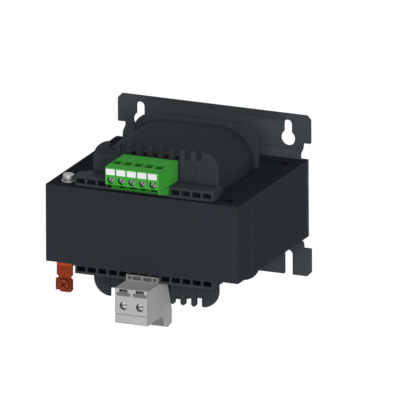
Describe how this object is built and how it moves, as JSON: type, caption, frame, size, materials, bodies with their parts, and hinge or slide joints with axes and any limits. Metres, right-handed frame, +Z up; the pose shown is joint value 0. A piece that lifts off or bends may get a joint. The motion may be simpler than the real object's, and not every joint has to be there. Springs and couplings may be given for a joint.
{
  "type": "chassis transformer",
  "caption": "Laminated transformer on a dark keyhole mounting plate, with a ribbed coil former, green and grey screw terminals and an orange earth lug.",
  "frame": {"origin": "on the wall plane behind the mounting plate, midway between its sides and at the middle of the core stack's height", "axes": "+Y points into the wall, so the terminals face -Y; +Z is up, towards the keyholes; +X is to the right as seen from the front"},
  "size_m": [0.151, 0.1497, 0.1333],
  "materials": {
    "core_paint": "satin black paint over stacked laminations",
    "plate_paint": "satin dark grey paint",
    "former_plastic": "matt black moulded plastic",
    "winding_wire": "enamelled copper wire",
    "insulation_paper": "pale insulating paper",
    "wrap_tape": "black varnished wrap",
    "green_plastic": "green moulded plastic",
    "white_plastic": "white moulded plastic",
    "terminal_steel": "plated steel",
    "tinned_brass": "tinned brass",
    "grey_plastic": "light grey moulded plastic",
    "lead_sleeve": "black sleeve over the lead wires",
    "earth_lug_metal": "orange coated sheet metal",
    "earth_screw_metal": "orange coated steel",
    "bolt_steel": "zinc plated steel"
  },
  "bodies": {
    "root": {"core_e_stack": "core_paint", "core_i_stack": "core_paint", "core_weld_seams": "core_paint", "mounting_plate": "plate_paint", "plate_tack_welds": "plate_paint", "coil_former": "former_plastic", "secondary_winding": "winding_wire", "layer_insulation": "insulation_paper", "primary_winding": "winding_wire", "outer_wrap": "wrap_tape", "primary_leads": "lead_sleeve", "secondary_leads": "lead_sleeve", "primary_terminal_body": "green_plastic", "primary_end_cover": "green_plastic", "primary_marker_tags": "white_plastic", "primary_screws": "terminal_steel", "primary_clamps": "terminal_steel", "primary_tabs": "tinned_brass", "secondary_terminal_body": "grey_plastic", "secondary_screws": "terminal_steel", "secondary_clamps": "terminal_steel", "secondary_tabs": "tinned_brass", "earth_terminal_body": "earth_lug_metal", "earth_terminal_screw": "earth_screw_metal", "earth_clamp_plate": "earth_screw_metal", "earth_bolt": "bolt_steel", "earth_washer": "bolt_steel", "earth_spring_washer": "bolt_steel", "earth_nut": "bolt_steel"}
  },
  "joints": []
}
